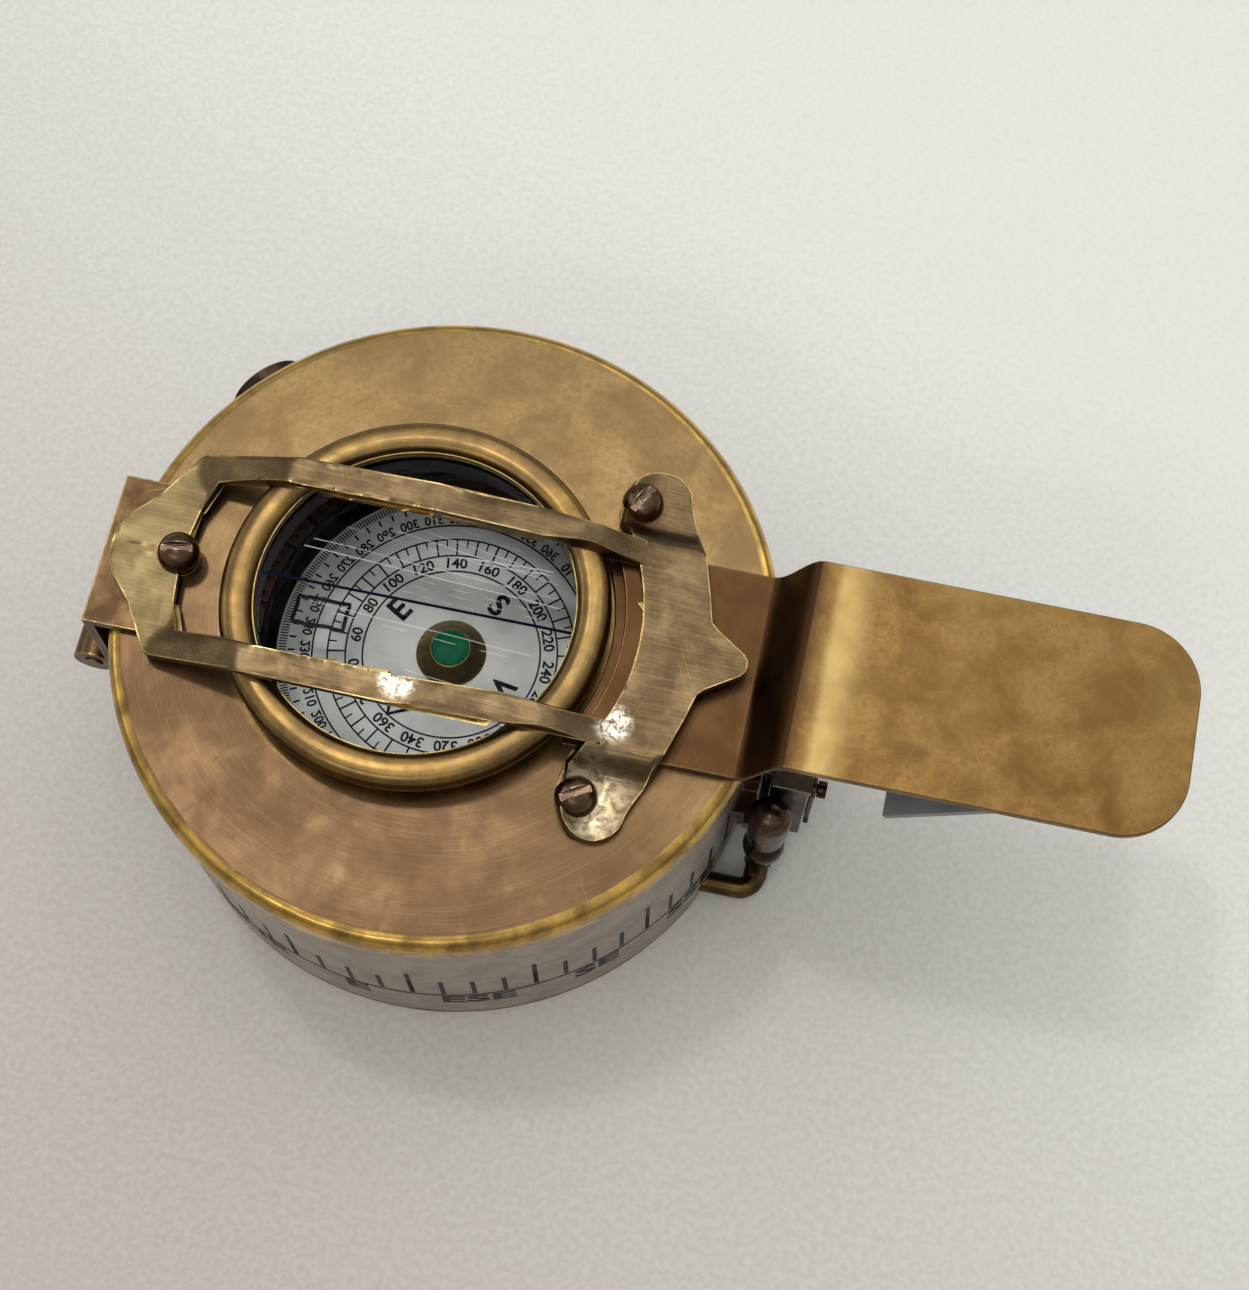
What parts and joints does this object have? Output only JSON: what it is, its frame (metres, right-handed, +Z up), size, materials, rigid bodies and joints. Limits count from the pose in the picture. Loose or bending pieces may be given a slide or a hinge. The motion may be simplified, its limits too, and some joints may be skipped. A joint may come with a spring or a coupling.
{
  "type": "military compass",
  "caption": "Round brass marching compass with a windowed sighting lid, cranked thumb tongue, guard frame, floating dial and folding prism with thumb ring",
  "frame": {"origin": "middle of the underside of the case, where it stands on a table", "axes": "+Z up through the pivot, +X from the lid's hinge to the tip of the thumb tongue, +Y to the left of that"},
  "size_m": [0.1083, 0.065, 0.0387],
  "materials": {
    "aged_brass": "aged brass with brown patina and rubbed edges",
    "bright_brass": "polished turned brass",
    "bronzed_brass": "dark bronzed brass, brushed",
    "silvered_brass": "silvered and filled with black",
    "coppery_brass": "copper-brown patina",
    "black_bronze": "near-black bronzed finish",
    "dial_print": "pale satin with black print",
    "clear_glass": "clear, fine scratches on the lid's glass",
    "green_jewel": "green glass paste",
    "black_mark": "printed line",
    "blue_line": "dark blue line",
    "black_rubber": "thin gasket",
    "bare_steel": "plain turned steel",
    "grey_sheet": "grey coated sheet"
  },
  "bodies": {
    "case_body": {"case": "aged_brass", "scale_band": "silvered_brass", "pivot_post": "bright_brass", "pivot_pin": "bare_steel", "clamp_bush": "aged_brass", "hinge_case_leaf": "coppery_brass", "hinge_pin": "bare_steel", "prism_bracket": "black_bronze", "slide_screws": "coppery_brass", "ring_posts": "coppery_brass", "ring_rivets": "coppery_brass"},
    "card_body": {"compass_card": "dial_print", "card_magnets": "bare_steel", "jewel_cap": "bright_brass", "jewel": "green_jewel"},
    "bezel_body": {"bezel": "black_bronze", "case_glass": "clear_glass", "glass_gasket": "black_rubber", "glass_ring": "bronzed_brass", "index_box": "black_mark"},
    "clamp_body": {"clamp_screw": "bronzed_brass"},
    "lid_body": {"lid_shell": "aged_brass", "lid_glass": "clear_glass", "lid_glass_ring": "bronzed_brass", "hairline": "blue_line", "hinge_lid_leaf": "coppery_brass", "guard_frame": "bronzed_brass", "guard_screw_left": "coppery_brass", "guard_screw_front": "coppery_brass", "guard_screw_back": "coppery_brass", "tongue": "aged_brass", "tongue_packing": "bronzed_brass", "leaf_bracket": "aged_brass", "leaf_pin": "bare_steel"},
    "leaf_body": {"leaf": "grey_sheet"},
    "slide_body": {"prism_slide": "bronzed_brass", "prism_pin": "bare_steel"},
    "prism_body": {"prism_box": "silvered_brass", "prism_cap": "coppery_brass", "prism": "clear_glass", "eye_lens": "clear_glass", "lever_screw": "black_bronze"},
    "lever_body": {"shade_lever": "black_bronze"},
    "ring_body": {"thumb_ring": "aged_brass"}
  },
  "joints": [
    {"name": "card_turn", "type": "hinge", "parent": "case_body", "child": "card_body", "pos_m": [0, 0, 0.0205], "axis": [0, 0, 1], "continuous": true},
    {"name": "bezel_turn", "type": "hinge", "parent": "case_body", "child": "bezel_body", "pos_m": [0, 0, 0.0235], "axis": [0, 0, 1], "continuous": true},
    {"name": "clamp_turn", "type": "hinge", "parent": "case_body", "child": "clamp_body", "pos_m": [-0.02518, 0.02431, 0.0221], "axis": [-0.7193, 0.6947, 0], "continuous": true},
    {"name": "lid_hinge", "type": "hinge", "parent": "case_body", "child": "lid_body", "pos_m": [-0.03535, 0, 0.0198], "axis": [0, -1, 0], "range_deg": [0, 180]},
    {"name": "leaf_fold", "type": "hinge", "parent": "lid_body", "child": "leaf_body", "pos_m": [0.0552, 0, 0.0362], "axis": [0, 1, 0], "range_deg": [-40, 38]},
    {"name": "prism_focus", "type": "slide", "parent": "case_body", "child": "slide_body", "axis": [0, 0, 1], "range_m": [0, 0.0025]},
    {"name": "prism_fold", "type": "hinge", "parent": "slide_body", "child": "prism_body", "pos_m": [0.0335, 0, 0.0216], "axis": [0, -1, 0], "range_deg": [0, 80]},
    {"name": "lever_swing", "type": "hinge", "parent": "prism_body", "child": "lever_body", "pos_m": [0.0382, -0.0052, 0.0182], "axis": [1, 0, 0], "range_deg": [0, 90]},
    {"name": "ring_swing", "type": "hinge", "parent": "case_body", "child": "ring_body", "pos_m": [0.0343, 0, 0.00175], "axis": [0, -1, 0], "range_deg": [0, 170]}
  ]
}
